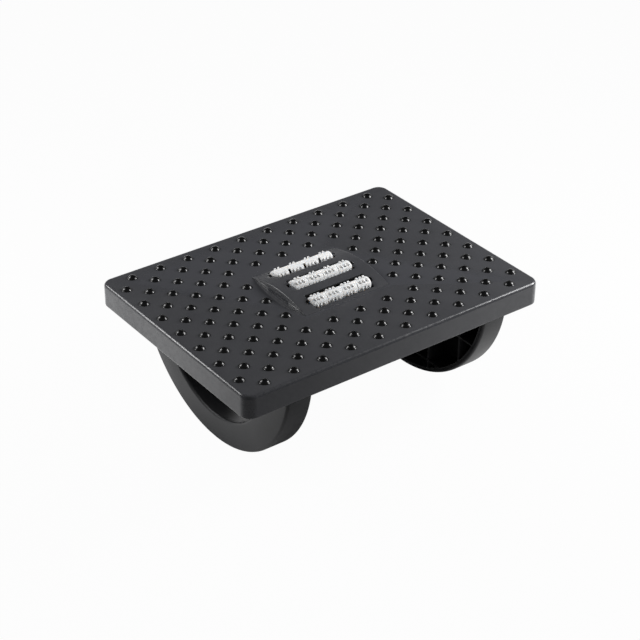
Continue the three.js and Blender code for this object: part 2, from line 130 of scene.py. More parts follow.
class PlatformSizes(bpy.types.PropertyGroup):
    """Deck, skirt and the ribs under the deck"""

    half_length: length("From the middle to an end face", PLATFORM_HIGH.x)
    half_depth: length("From the middle to the front face", PLATFORM_HIGH.y)
    foot: length("Height of the skirt's lower edge", PLATFORM_LOW.z)
    deck: length("Height of the flat deck", 0.170)
    wall: length("Thickness of deck and skirt", 0.003)
    corner: length("Radius of the upright corners", 0.0145)
    fillet: length("Rounding between deck and skirt", 0.0045)
    foot_round: length("Rounding of the skirt's lower edge", 0.0006)
    window_round: length("Rounding of the edge round the panel", 0.00012)
    rib_wall: length("Thickness of a rib", 0.002)
    rib_reach: length("Height of the ribs under the deck", 0.016)
    cross_rib_first: length("From the middle to the nearest cross rib", 0.0975)
    cross_rib_spacing: length("Between cross ribs", 0.044)
    long_rib_first: length("From the middle to the nearest long rib", 0.0745)
    long_rib_spacing: length("Between long ribs", 0.045)
    boss_wall: length("Wall round a screw's hole", 0.0026)


class StudSizes(bpy.types.PropertyGroup):
    """Domed studs on the deck"""

    pitch: length("Between studs of one square set", 0.042)
    radius: length("Radius of a dome at the deck", 0.0064)
    height: length("Height of a dome", 0.004)
    foot_round: length("Hollow rounding where a dome meets the deck", 0.0005)
    edge_gap: length("Least gap from a dome to the deck's rounding", 0.002)
    panel_gap: length("Least gap from a dome to the panel", 0.006)
    sides: count("Steps round a dome", 28, 8)


class RockerSizes(bpy.types.PropertyGroup):
    """Curved channels that the footrest rolls on"""

    outer: length("From the middle to a rocker's outer face", 0.169)
    inner: length("From the middle to a rocker's open side", 0.133)
    flat: length("Half of the small flat at the lowest point", 0.007)
    fillet: length("Rounding of the tread's and the scoop's edges", 0.004)
    tread_wall: length("Thickness of the tread", 0.007)
    side_wall: length("Thickness of the outer face", 0.0035)
    scoop_wall: length("Thickness of the wall round the scoop", 0.003)
    scoop_radius: length("Radius of the scooped opening", 0.1123)
    scoop_height: length("Height of the scoop's centre", 0.149)
    rim_round: length("Rounding of the open side's edges", 0.0005)
    rib_wall: length("Thickness of an inner rib", 0.0022)
    rib_spacing: length("Between upright ribs", 0.0595)
    rib_inset: length("How far the ribs stand back from the open side", 0.0006)
    upper_shelf: length("Height of the upper cross rib", 0.096)
    lower_shelf: length("Height of the lower cross rib", 0.029)
    rail_foot: length("Height of the rail's underside", 0.147)
    rail_top: length("Height of the rail's top", 0.1505)
    flange_reach: length("How far the flange stands out on each side", 0.020)
    flange_length: length("Length of the flange along the depth", 0.270)
    flange_corner: length("Radius of the flange's corners", 0.008)
    screw_spacing: length("Between the flange's screws along the depth", 0.200)
    screw_inset: length("From the flange's edge to a screw", 0.009)
    steps: count("Steps along the tread", 120, 24)


class PanelSizes(bpy.types.PropertyGroup):
    """Arched panel with three slots, and the tray under it"""

    half_length: length("From the middle to an end of the panel", 0.0655)
    half_depth: length("From the middle to the panel's front edge", 0.058)
    rise: length("Height of the arch above the deck", 0.0099)
    wall: length("Thickness of the panel", 0.0025)
    fillet: length("Rounding of the arched ends", 0.0015)
    foot: length("Height of the panel's lower edge", 0.1642)
    edge_round: length("Rounding where the arch runs out at the deck", 0.00012)
    slot_half_length: length("Half length of a slot", 0.0455)
    slot_half_width: length("Half width of a slot", 0.013)
    slot_corner: length("Radius of a slot's corners", 0.0015)
    notch_half_length: length("From the middle to the tip of a notch", 0.0515)
    notch_half_width: length("Half width of a notch", 0.0035)
    slot_round: length("Rounding of a slot's upper edge", 0.0005)
    bearing_wall: length("Thickness of the wall that holds an axle", 0.004)
    groove_depth: length("Depth of the groove along the arched ends", 0.00035)
    tray_corner: length("Radius of the tray's corners", 0.006)
    tray_wall: length("Thickness of the tray", 0.0025)
    tray_screw_x: length("From the middle to a tray screw along X", 0.0825)
    tray_screw_y: length("From the middle to a tray screw along Y", 0.050)


class RollerSizes(bpy.types.PropertyGroup):
    """Massage rollers and their axles"""

    radius: length("Radius of a roller under its fins", 0.0089)
    half_length: length("Half length of a roller", ROLLER_END)
    end_round: length("Rounding of a roller's rims", 0.0014)
    section: length("From one groove to the next", 0.0235)
    groove_width: length("Width of the groove between sections", 0.0016)
    groove_depth: length("Depth of the groove between sections", 0.0010)
    window_width: length("Width of a window along the roller", 0.0038)
    window_length: length("Length of a window round the roller", 0.0084)
    window_floor: length("Radius at the bottom of a window", 0.0042)
    fin_height: length("Height of a fin", 0.0021)
    fin_root: length("Depth of a fin inside the roller", 0.0006)
    fin_width: length("Width of a fin along the roller", 0.0022)
    fin_length: length("Length of a fin round the roller", 0.0042)
    fin_top_share: share("Size of a fin's top against its foot", 0.65)
    fin_spacing: length("Between two fins of a row", 0.0053)
    axle_radius: length("Radius of an axle", 0.0020)
    axle_half: length("Half length of an axle", AXLE_END)
    axle_chamfer: length("Chamfer at an axle's ends", 0.0005)
    sections: count("Sections in a roller", 4, 1)
    sides: count("Steps round a roller", 72, 24)


class ScrewSizes(bpy.types.PropertyGroup):
    """Cross-recessed screws, driven from below"""

    rocker_shank: length("Radius of a rocker screw's shank", 0.0019)
    rocker_head: length("Radius of a rocker screw's head", 0.0039)
    rocker_length: length("Length under a rocker screw's head", 0.015)
    tray_shank: length("Radius of a tray screw's shank", 0.0014)
    tray_head: length("Radius of a tray screw's head", 0.0029)
    tray_length: length("Length under a tray screw's head", 0.008)
    head_height: length("Height of a screw's head", 0.0024)
    recess_width: length("Width of a recess's arms", 0.0009)
    recess_depth: length("Depth of the recess", 0.0012)
    seat: length("Gap between a head and what it holds", 0.0003)


class Finishes(bpy.types.PropertyGroup):
    """Colours and surface of the plastics and metals, with a darker charcoal that is painted shade
    """

    platform: colour("Deck and skirt", (0.0370, 0.0378, 0.0425))
    stud: colour("Polished domes", (0.0020, 0.0021, 0.0024))
    rocker: colour("Rocker mouldings", (0.0150, 0.0155, 0.0173))
    panel: colour("Arched panel", (0.0420, 0.0430, 0.0480))
    # A darker copy of the charcoal: painted shade on the slot walls, bearings, tray and rocker ribs
    inside: colour("Slot walls, bearings and tray", (0.010, 0.010, 0.011))
    roller: colour("Massage rollers", (0.86, 0.86, 0.855))
    axle: colour("Steel pins", (0.12, 0.12, 0.13))
    screw: colour("Zinc plated steel", (0.42, 0.42, 0.43))
    deck_roughness: share("Roughness of the platform", 0.5)
    stud_roughness: share("Roughness of the studs", 0.24)
    grain: length("Size of the moulded texture", 0.0007)


class Studio(bpy.types.PropertyGroup):
    """Camera, floor and lights"""

    azimuth: angle("Camera's turn from looking along +Y", 36.536)
    elevation: angle("Camera's height over the horizon", 31.872)
    roll: angle("Camera's turn about its own line of sight", 0.216)
    lens: number("Focal length in millimetres", 97.97)
    floor_colour: colour("Colour of the floor", (0.45, 0.45, 0.45))
    floor_lift: share("Share of plain white in what is seen of the floor", 0.97)
    # Painted reflection and painted shadow: reflections see the floor glow brighter, and darker in
    # a patch under the part
    mirrored: number("Extra brightness of the floor in reflections", 0.6)
    painted_shadow_length: length("Half length of the dark patch under the part", 0.20)
    painted_shadow_depth: length("Half depth of the dark patch under the part", 0.25)
    horizon: number("Brightness of the far walls near the floor", 1.2)
    fill: number("Brightness on the camera's side", 0.12)
    ceiling: number("Brightness overhead", 0.05)


def band(first, second, size, closed=True):
    """Faces between two rows of corners, which start at two given numbers"""
    pairs = [(step, (step + 1) % size) for step in range(size if closed else size - 1)]
    return [[first + a, first + b, second + b, second + a] for a, b in pairs]


class Form:
    """Corners and faces of one piece, gathered from simple stretches"""

    def __init__(self):
        self.verts, self.faces = [], []

    def add(self, verts, faces):
        first = len(self.verts)
        self.verts.extend(Vector(v) for v in verts)
        self.faces.extend([first + corner for corner in face] for face in faces)

    def loft(self, rings, joined=False, caps=True, closed=True):
        """Outlines with the same number of points, joined one after another"""
        size, rows = len(rings[0]), len(rings)
        faces = []
        for row in range(rows if joined else rows - 1):
            faces += band(row * size, (row + 1) % rows * size, size, closed)
        if caps and not joined:
            faces += [list(range(size)), list(range((rows - 1) * size, rows * size))]
        self.add([point for ring in rings for point in ring], faces)

    def block(self, low, high, bevel):
        """Box between any two opposite corners, with all its edges rounded a little"""
        low, high = zip(*(sorted(pair) for pair in zip(low, high)))
        work = bmesh.new()
        centre = (Vector(low) + Vector(high)) / 2
        size = Vector(high) - Vector(low)
        place = Matrix.Translation(centre) @ Matrix.Diagonal((*size, 1.0))
        bmesh.ops.create_cube(work, size=1.0, matrix=place)
        bmesh.ops.bevel(work, geom=work.edges[:], offset=bevel, segments=2, affect="EDGES",
                        profile=0.5)
        work.verts.index_update()
        self.add([v.co.copy() for v in work.verts],
                 [[v.index for v in f.verts] for f in work.faces])
        work.free()


def put(form, name, nodes, finish, body=FIXED_BODY, sharp=38.0):
    """Makes a piece of a form, hides the parts that it stands for, and hangs it on the body that it
    moves with
    """
    mesh = bpy.data.meshes.new(name)
    mesh.from_pydata(form.verts, [], form.faces)
    work = bmesh.new()
    work.from_mesh(mesh)
    bmesh.ops.remove_doubles(work, verts=work.verts, dist=WELD)
    bmesh.ops.dissolve_degenerate(work, dist=WELD, edges=work.edges)
    bmesh.ops.recalc_face_normals(work, faces=work.faces)
    work.to_mesh(mesh)
    work.free()
    mesh.shade_smooth()
    mesh.set_sharp_from_angle(angle=radians(sharp))
    mesh.materials.append(finish)
    piece = bpy.data.objects.new(name, mesh)
    bpy.context.scene.collection.objects.link(piece)
    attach(piece, body)
    if nodes:
        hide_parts(*nodes)


def arc(centre_a, centre_b, radius, start, end, steps):
    """Points of an arc in a plane, with both ends"""
    turns = [start + (end - start) * step / steps for step in range(steps + 1)]
    return [(centre_a + radius * cos(t), centre_b + radius * sin(t)) for t in turns]


def rounded_outline(half_a, half_b, radius, steps):
    """Rectangle with rounded corners, from the middle, the same number of points at any size"""
    radius = max(radius, WELD * 10)
    points = []
    for quarter, (side_a, side_b) in enumerate([(1, 1), (-1, 1), (-1, -1), (1, -1)]):
        start = quarter * pi / 2
        points += arc(side_a * (half_a - radius), side_b * (half_b - radius), radius,
                      start, start + pi / 2, steps)
    return points


def rounded_ring(half_x, half_y, corner, inset, steps, z, middle=0.0):
    """A rounded rectangle at one height, drawn in all round by an inset"""
    outline = rounded_outline(half_x - inset, half_y - inset, corner - inset, steps)
    return [(middle + x, y, z) for x, y in outline]


def lathe_rings(profile, sides):
    """Rings round Z from radius and height pairs"""
    turns = [2 * pi * step / sides for step in range(sides)]
    return [[(r * cos(t), r * sin(t), z) for t in turns] for r, z in profile]


def moved(rings, place, turn=Matrix.Identity(4)):
    return [[turn @ Vector(point) + place for point in ring] for ring in rings]


def four_corners(x, y):
    return [(-x, -y), (x, -y), (x, y), (-x, y)]


def screw_places(rocker, panel):
    """Where the rockers' screws and the tray's screws stand, seen from above"""
    middle = (rocker.outer + rocker.inner) / 2
    flange_x = (rocker.outer - rocker.inner) / 2 + rocker.flange_reach - rocker.screw_inset
    flange = four_corners(flange_x, rocker.screw_spacing / 2)
    return ([(side * middle + x, y) for side in (-1, 1) for x, y in flange],
            four_corners(panel.tray_screw_x, panel.tray_screw_y))


def settings(*families):
    """The scene's settings of the given families"""
    return [getattr(bpy.context.scene, "footrest_" + family) for family in families]


def feed(tree, socket, value):
    """Links a socket to another one, or gives it a plain value"""
    if isinstance(value, bpy.types.NodeSocket):
        tree.links.new(value, socket)
    else:
        socket.default_value = value


def add_node(tree, kind, inputs=(), **options):
    """A shader node with its options, and with inputs by name or number"""
    node = tree.nodes.new("ShaderNode" + kind)
    for name, value in options.items():
        setattr(node, name, value)
    for name, value in dict(inputs).items():
        feed(tree, node.inputs[name], value)
    return node


def new_group(name, inputs, outputs):
    """An empty shader node group, with its inputs' sockets and its outputs' sockets"""
    tree = bpy.data.node_groups.new(name, "ShaderNodeTree")
    for label, value in inputs.items():
        kind = "NodeSocketColor" if isinstance(value, tuple) else "NodeSocketFloat"
        socket = tree.interface.new_socket(name=label, in_out="INPUT", socket_type=kind)
        socket.default_value = value
    for label in outputs:
        kind = "NodeSocketColor" if label == "Colour" else "NodeSocketFloat"
        tree.interface.new_socket(name=label, in_out="OUTPUT", socket_type=kind)
    return tree, tree.nodes.new("NodeGroupInput").outputs, tree.nodes.new("NodeGroupOutput").inputs


def calc(tree, operation, first, second):
    return add_node(tree, "Math", {0: first, 1: second}, operation=operation).outputs["Value"]


def vector_calc(tree, operation, first, second, output):
    node = add_node(tree, "VectorMath", {0: first, 1: second}, operation=operation)
    return node.outputs[output]


def mixed(tree, factor, first, second):
    inputs = {"Factor": factor, "A": first, "B": second}
    return add_node(tree, "Mix", inputs, data_type="RGBA").outputs["Result"]


def spread(tree, value, low, high, to_low=0.0, to_high=1.0):
    """Maps one range of a value to another, held at both ends"""
    ends = {"From Min": low, "From Max": high, "To Min": to_low, "To Max": to_high}
    return add_node(tree, "MapRange", {"Value": value, **ends}, clamp=True).outputs["Result"]


def place_of(tree, space="Object"):
    return add_node(tree, "TexCoord").outputs[space]


def noise(tree, scale, detail, roughness=0.55):
    """Noise over the piece in its own space, in cells per metre"""
    node = add_node(tree, "TexNoise", {"Vector": place_of(tree), "Scale": scale, "Detail": detail,
                                       "Roughness": roughness})
    return node.outputs["Fac"]


def make_grain_group():
    """Spark-eroded mould texture: fine pebbles over a slower drift"""
    tree, given, result = new_group("moulded_grain", {"Scale": 1400.0, "Pebble Share": 0.6},
                                    ["Height", "Drift"])
    fine = noise(tree, given["Scale"], 3.0)
    cells = add_node(tree, "TexVoronoi", {"Vector": place_of(tree), "Scale": given["Scale"]},
                     feature="SMOOTH_F1")
    pebble = calc(tree, "MULTIPLY", cells.outputs["Distance"], given["Pebble Share"])
    feed(tree, result["Height"], calc(tree, "ADD", fine, pebble))
    feed(tree, result["Drift"], noise(tree, 9.0, 4.0))
    return tree


def make_wear_group():
    """Rubbed edges: where the surface turns outwards sharply, broken up by noise"""
    tree, given, result = new_group("edge_wear", {"Reach": 0.03, "Amount": 0.5}, ["Mask"])
    pointed = add_node(tree, "NewGeometry").outputs["Pointiness"]
    edge = calc(tree, "DIVIDE", calc(tree, "SUBTRACT", pointed, 0.5), given["Reach"])
    broken = spread(tree, noise(tree, 160.0, 5.0), 0.35, 0.65, 0.5, 1.0)
    held = add_node(tree, "Clamp", {"Value": calc(tree, "MULTIPLY", edge, broken)})
    feed(tree, result["Mask"], calc(tree, "MULTIPLY", held.outputs["Result"], given["Amount"]))
    return tree


def make_dust_group():
    """Settled dust: on what faces up, in soft patches and fine specks"""
    tree, given, result = new_group("settled_dust", {"Amount": 0.1}, ["Mask"])
    facing = add_node(tree, "NewGeometry").outputs["Normal"]
    up = add_node(tree, "SeparateXYZ", {"Vector": facing}).outputs["Z"]
    patches = spread(tree, noise(tree, 22.0, 5.0, 0.6), 0.35, 0.75, 0.25, 1.0)
    specks = spread(tree, noise(tree, 2600.0, 2.0), 0.62, 0.72)
    dusty = calc(tree, "MULTIPLY", spread(tree, up, 0.4, 1.0), calc(tree, "ADD", patches, specks))
    feed(tree, result["Mask"], calc(tree, "MULTIPLY", dusty, given["Amount"]))
    return tree


def make_tone_group():
    """Colour that drifts a little between two tones over the surface"""
    tree, given, result = new_group(
        "tone_drift",
        {"Colour": (0.03, 0.03, 0.03, 1.0), "Lighter": (0.05, 0.05, 0.05, 1.0), "Scale": 30.0},
        ["Colour"])
    slow = spread(tree, noise(tree, given["Scale"], 6.0, 0.6), 0.3, 0.7)
    feed(tree, result["Colour"], mixed(tree, slow, given["Colour"], given["Lighter"]))
    return tree


GROUP_MAKERS = {"moulded_grain": make_grain_group, "edge_wear": make_wear_group,
                "settled_dust": make_dust_group, "tone_drift": make_tone_group}


def place_group(tree, name, inputs):
    """A shared node group, which is made when it is first asked for"""
    shared = bpy.data.node_groups.get(name) or GROUP_MAKERS[name]()
    return add_node(tree, "Group", inputs, node_tree=shared).outputs


def lighter(value, factor):
    return tuple(min(1.0, part * factor) for part in value)


def finish_of(name, base, roughness, grain_size, *, drift=1.18, swing=0.10, bump=0.25,
              wear=0.35, reach=0.035, worn=2.4, polish=0.0, dust=0.06, metal=0.0,
              specular=0.5, through=0.0):
    """A moulded or metal finish: drifting tone, rubbed edges, dust, grain and bump"""
    found = bpy.data.materials.get(name)
    if found:
        return found
    material = bpy.data.materials.new(name)
    material.use_nodes = True
    tree = material.node_tree
    shader = tree.nodes["Principled BSDF"].inputs
    shader["Metallic"].default_value = metal
    shader["Specular IOR Level"].default_value = specular
    shader["Subsurface Weight"].default_value = through
    shader["Subsurface Scale"].default_value = GLOW_REACH
    shader["Subsurface Radius"].default_value = GLOW_RADIUS

    tone = place_group(tree, "tone_drift", {
        "Colour": (*base, 1.0), "Lighter": (*lighter(base, drift), 1.0), "Scale": TONE_SCALE})
    edge = place_group(tree, "edge_wear", {"Reach": reach, "Amount": wear})["Mask"]
    fall = place_group(tree, "settled_dust", {"Amount": dust})["Mask"]
    grain = place_group(tree, "moulded_grain", {"Scale": 1.0 / grain_size,
                                                "Pebble Share": PEBBLE_SHARE})

    rubbed = mixed(tree, edge, tone["Colour"], (*lighter(base, worn), 1.0))
    feed(tree, shader["Base Color"], mixed(tree, fall, rubbed, (*DUST_COLOUR, 1.0)))

    rough = spread(tree, grain["Drift"], 0.3, 0.7, roughness - swing / 2, roughness + swing / 2)
    rough = calc(tree, "ADD", rough, calc(tree, "MULTIPLY", fall, DUST_ROUGHNESS))
    rough = calc(tree, "SUBTRACT", rough, calc(tree, "MULTIPLY", edge, polish))
    feed(tree, shader["Roughness"], rough)

    relief = add_node(tree, "Bump", {"Strength": bump, "Distance": BUMP_DEPTH,
                                     "Height": grain["Height"]})
    feed(tree, shader["Normal"], relief.outputs["Normal"])
    return material


def stud_centres(platform, studs, panel):
    """Two square sets, half a pitch apart, clear of the edge and the panel"""
    clear = studs.radius + platform.fillet + studs.edge_gap
    panel_x = panel.half_length + studs.radius + studs.panel_gap
    panel_y = panel.half_depth + studs.radius + studs.panel_gap
    half = studs.pitch / 2
    last_column = int((platform.half_length - clear) / half)
    last_row = int((platform.half_depth - clear) / half)
    centres = []
    for column in range(-last_column, last_column + 1):
        for row in range(-last_row, last_row + 1):
            x, y = column * half, row * half
            on_panel = abs(x) < panel_x and abs(y) < panel_y
            if (column - row) % 2 == 0 and not on_panel:
                centres.append((x, y))
    return centres


class MakePlatform(bpy.types.Operator):
    """Builds the deck and skirt as one smooth shell with an opening for the panel"""

    bl_idname = "footrest.make_platform"
    bl_label = "Make platform"

    def execute(self, context):
        sizes, panel, screws, finishes = settings("platform", "panel", "screws", "finishes")
        gap = screws.seat
        foot, deck, small, edge = sizes.foot, sizes.deck, sizes.foot_round, sizes.window_round
        fillet, wall = sizes.fillet, sizes.wall
        under = deck - wall
        corner_steps, fillet_steps, small_steps = 10, 14, 3

        def ring(inset, z):
            return rounded_ring(sizes.half_length, sizes.half_depth, sizes.corner, inset,
                                corner_steps, z)

        def window(outset, z, radius=2 * edge):
            outline = rounded_outline(panel.half_length + gap + outset,
                                      panel.half_depth + gap + outset, radius, corner_steps)
            return [(x, y, z) for x, y in outline]

        def bend(at, *points):
            return [at(a, z) for a, z in arc(*points)]

        # The flat rings beside each rounding keep the worn edges narrow
        rings = bend(ring, small, foot + small, small, 1.5 * pi, pi, small_steps)
        rings += [ring(0.0, foot + part * small) for part in (2, 4)]
        rings += [ring(0.0, deck - fillet - part * small) for part in (3, 1)]
        rings += bend(ring, fillet, deck - fillet, fillet, pi, pi / 2, fillet_steps)
        rings += [ring(fillet + part * small, deck) for part in (1, 3)]
        rings.append(window(fillet, deck, fillet))
        rings += [window(part * edge, deck) for part in (4, 2)]
        rings += bend(window, edge, deck - edge, edge, pi / 2, pi, small_steps)
        rings += [window(0.0, under), window(2 * small, under), ring(wall + 2 * small, under)]
        rings += bend(ring, wall + small, under - small, small, pi / 2, pi, small_steps)
        rings += bend(ring, wall - small, foot + small, small, 0.0, -pi / 2, small_steps)
        form = Form()
        form.loft(rings, joined=True)
        finish = finish_of("charcoal_satin", finishes.platform, finishes.deck_roughness,
                           finishes.grain, bump=0.2, specular=0.42, dust=0.02, wear=1.0,
                           reach=0.02, polish=0.45, worn=1.5)
        put(form, "platform_shell", ["platform"], finish)
        return {"FINISHED"}


class MakeStuds(bpy.types.Operator):
    """Builds the domed studs, each with a small hollow rounding at its foot"""

    bl_idname = "footrest.make_studs"
    bl_label = "Make studs"

    def execute(self, context):
        platform, studs, panel, finishes = settings("platform", "studs", "panel", "finishes")
        radius, height, small, sides = studs.radius, studs.height, studs.foot_round, studs.sides
        sphere = (radius ** 2 + height ** 2) / (2 * height)
        start = asin(radius / sphere) * 0.97
        dome_steps = 10
        foot = (sphere * sin(start), height - sphere + sphere * cos(start))
        profile = [(radius + small, -small), (radius + small, 0.0),
                   ((radius + small + foot[0]) / 2, foot[1] * 0.28)]
        for step in range(dome_steps):
            turn = start * (1 - step / dome_steps)
            profile.append((sphere * sin(turn), height - sphere + sphere * cos(turn)))
        rings = lathe_rings(profile, sides)
        form = Form()
        for x, y in stud_centres(platform, studs, panel):
            place = Vector((x, y, platform.deck))
            first = len(form.verts)
            form.loft(moved(rings, place), caps=False)
            tip = len(form.verts)
            last = tip - sides
            form.verts.append(place + Vector((0.0, 0.0, height)))
            form.faces += [[last + step, last + (step + 1) % sides, tip] for step in range(sides)]
            form.faces.append(list(range(first, first + sides)))
        finish = finish_of("charcoal_polished", finishes.stud, finishes.stud_roughness,
                           finishes.grain, bump=0.05, swing=0.05, specular=0.36, dust=0.002,
                           wear=0.1)
        put(form, "deck_studs", [], finish, sharp=75.0)
        return {"FINISHED"}


class MakeUnderside(bpy.types.Operator):
    """Builds the ribs and the screw bosses under the deck"""

    bl_idname = "footrest.make_underside"
    bl_label = "Make ribs and bosses"

    def execute(self, context):
        sizes, rocker, panel, screws, finishes = settings(
            "platform", "rocker", "panel", "screws", "finishes")
        top = sizes.deck - sizes.wall / 2
        foot = sizes.deck - sizes.wall - sizes.rib_reach
        end_x = sizes.half_length - sizes.wall / 2
        end_y = sizes.half_depth - sizes.wall / 2
        half = sizes.rib_wall / 2
        bevel = half * 0.3
        form = Form()
        for step in range(3):
            x = sizes.cross_rib_first + step * sizes.cross_rib_spacing
            for place in (-x, x):
                form.block((place - half, -end_y, foot), (place + half, end_y, top), bevel)
        for step in range(2):
            y = sizes.long_rib_first + step * sizes.long_rib_spacing
            for place in (-y, y):
                form.block((-end_x, place - half, foot), (end_x, place + half, top), bevel)
        seats = ((rocker.rail_top, screws.rocker_shank),
                 (TRAY_LOW.z + panel.tray_wall, screws.tray_shank))
        for places, (seat, shank) in zip(screw_places(rocker, panel), seats):
            bore = shank + screws.seat
            out = bore + sizes.boss_wall
            low = seat + screws.seat
            rings = lathe_rings([(bore, low + bevel), (bore + bevel, low), (out - bevel, low),
                                 (out, low + bevel), (out + 2 * bevel, top), (bore, top)],
                                BOSS_SIDES)
            for x, y in places:
                form.loft(moved(rings, Vector((x, y, 0.0))), joined=True)
        finish = finish_of("charcoal_inside", finishes.platform, 0.5, finishes.grain, bump=0.2,
                           dust=0.0, specular=0.4)
        put(form, "underside_ribs", [], finish)
        return {"FINISHED"}


class EndCurve:
    """A tread or a scoop seen from the rocker's end: an arc over the floor, to a far turn"""

    def __init__(self, centre, radius, turn):
        self.centre, self.radius, self.turn = centre, radius, turn

    def at(self, part):
        turn = self.turn * part
        return Vector((self.radius * sin(turn), max(self.centre - self.radius * cos(turn), 0.0)))

    def height(self, y, outset):
        return self.centre - sqrt((self.radius + outset) ** 2 - y * y)

    def reach(self, z, outset):
        return sqrt((self.radius + outset) ** 2 - (self.centre - z) ** 2)


def channel_section(sizes, depth):
    """Outline of the rocker's wall: how far in from the tread, and how far out from the middle"""
    inner, outer, fillet, small = sizes.inner, sizes.outer, sizes.fillet, sizes.rim_round
    tread, side = sizes.tread_wall, outer - sizes.side_wall
    back = depth - sizes.scoop_wall
    bend = 2 * small
    wide_steps, small_steps = 7, 2
    return [point for bent in (
        arc(fillet, inner + fillet, fillet, 1.5 * pi, pi, wide_steps),
        arc(fillet, outer - fillet, fillet, pi, pi / 2, wide_steps),
        arc(depth - fillet, outer - fillet, fillet, pi / 2, 0.0, wide_steps),
        arc(depth - small, inner + small, small, 0.0, -pi / 2, small_steps),
        arc(back + small, inner + small, small, 1.5 * pi, pi, small_steps),
        arc(back - bend, side - bend, bend, 0.0, pi / 2, small_steps),
        arc(tread + bend, side - bend, bend, pi / 2, pi, small_steps),
        arc(tread - small, inner + small, small, 0.0, -pi / 2, small_steps),
    ) for point in bent]


class MakeRockers(bpy.types.Operator):
    """Builds the two rockers: curved channels with a scoop, inner ribs, a rail and a flange"""

    bl_idname = "footrest.make_rockers"
    bl_label = "Make rockers"

    def execute(self, context):
        sizes, platform, screws, finishes = settings("rocker", "platform", "screws", "finishes")
        half, foot = platform.half_depth, platform.foot
        centre = (half ** 2 + foot ** 2 - sizes.flat ** 2) / (2 * foot)
        radius = hypot(centre, sizes.flat)
        tread = EndCurve(centre, radius, asin(half / radius))
        scoop = EndCurve(sizes.scoop_height, sizes.scoop_radius,
                         acos((sizes.scoop_height - sizes.rail_foot) / sizes.scoop_radius))
        rail_half = half - platform.wall - screws.seat
        parts = [2 * step / sizes.steps - 1 for step in range(sizes.steps + 1)]
        stations = [(tread.at(part), scoop.at(part)) for part in parts]
        rise = (foot - screws.seat, sizes.rail_foot)
        before = [(Vector((-rail_half, z)), stations[0][1]) for z in reversed(rise)]
        after = [(Vector((rail_half, z)), stations[-1][1]) for z in rise]
        finish = finish_of("charcoal_rocker", finishes.rocker, 0.46, finishes.grain, bump=0.3,
                           specular=0.26, dust=0.02, wear=0.1)
        # The ribs and the hollow's lining get an even darker copy of the charcoal: painted shade
        # inside the channel
        shade = finish_of("charcoal_ribs_painted_shade", lighter(finishes.inside, 0.8), 0.5, finishes.grain,
                          dust=0.0, specular=0.3)
        for side, name in ((-1, "left"), (1, "right")):
            form, ribs = Form(), Form()
            rings = []
            for start, end in before + stations + after:
                depth = (end - start).length
                towards = (end - start) / depth
                rings.append([(side * x, *(start + towards * s)) for s, x in
                              channel_section(sizes, depth)])
            form.loft([ring[HOLLOW.stop - 1:] + ring[:HOLLOW.start + 1] for ring in rings],
                      caps=False, closed=False)
            for ring in (rings[0], rings[-1]):
                form.add(ring, [list(range(len(ring)))])
            ribs.loft([ring[HOLLOW] for ring in rings], caps=False, closed=False)
            self.add_ribs(ribs, side, sizes, tread, scoop)
            self.add_rail(form, side, sizes, rail_half)
            put(form, f"{name}_rocker_moulding", [f"{name}_rocker"], finish)
            put(ribs, f"{name}_rocker_ribs", [], shade)
        return {"FINISHED"}

    def add_ribs(self, form, side, sizes, tread, scoop):
        """Upright ribs and two shelves, which run a little into the walls"""
        half = sizes.rib_wall / 2
        bevel = half * 0.35
        into_tread = -sizes.tread_wall * 0.6
        into_scoop = sizes.scoop_wall * 0.5
        ends = (side * (sizes.inner + sizes.rib_inset),
                side * (sizes.outer - sizes.side_wall * 0.7))

        def rib(low_y, high_y, low_z, high_z):
            form.block((ends[0], low_y, low_z), (ends[1], high_y, high_z), bevel)

        for step in range(-2, 3):
            y = step * sizes.rib_spacing
            beside = abs(y) > sizes.scoop_radius
            high = sizes.rail_foot + half if beside else scoop.height(y, into_scoop)
            rib(y - half, y + half, tread.height(y, into_tread), high)
        z = sizes.upper_shelf
        near, far = scoop.reach(z, into_scoop), tread.reach(z, into_tread)
        rib(near, far, z - half, z + half)
        rib(-far, -near, z - half, z + half)
        z = sizes.lower_shelf
        far = tread.reach(z, into_tread)
        rib(-far, far, z - half, z + half)

    def add_rail(self, form, side, sizes, rail_half):
        middle = side * (sizes.inner + sizes.outer) / 2
        half_width = (sizes.outer - sizes.inner) / 2
        small, low, high = sizes.rim_round, sizes.rail_foot, sizes.rail_top
        for half_x, half_y, corner in (
                (half_width, rail_half, 2 * small),
                (half_width + sizes.flange_reach, sizes.flange_length / 2, sizes.flange_corner)):
            form.loft([rounded_ring(half_x, half_y, corner, inset, RAIL_STEPS, z, middle)
                       for inset, z in
                       ((small, low), (0.0, low + small), (0.0, high - small), (small, high))])


def slot_quarter(sizes, outset):
    """A quarter of a slot, from the tip of its notch round to near the middle of its side"""
    end, side = sizes.slot_half_length + outset, sizes.slot_half_width + outset
    tip, notch = sizes.notch_half_length + outset, sizes.notch_half_width + outset
    corner = sizes.slot_corner
    points = [(tip, 0.0)]
    points += arc(tip - corner, notch - corner, corner, 0.0, pi / 2, 3)
    points += [((end + tip - corner) / 2, notch), (end, notch)]
    points += [(end, notch + (side - corner - notch) * step / 4) for step in (1, 2, 3)]
    points += arc(end - corner, side - corner, corner, 0.0, pi / 2, 6)
    points += [((end - corner) * (1 - step / 9), side) for step in range(1, 9)]
    return points


def whole_outline(upper, lower):
    """The outline from its quarters above and below the middle, both given at +X"""
    outline = upper + [(0.0, upper[-1][1])] + [(-x, y) for x, y in reversed(upper)]
    return outline + [(-x, -y) for x, y in lower[1:]] + [(0.0, -lower[-1][1])] + [
        (x, -y) for x, y in reversed(lower[1:])]


def slot_outline(sizes, outset=0.0):
    quarter = slot_quarter(sizes, outset)
    return whole_outline(quarter, quarter)


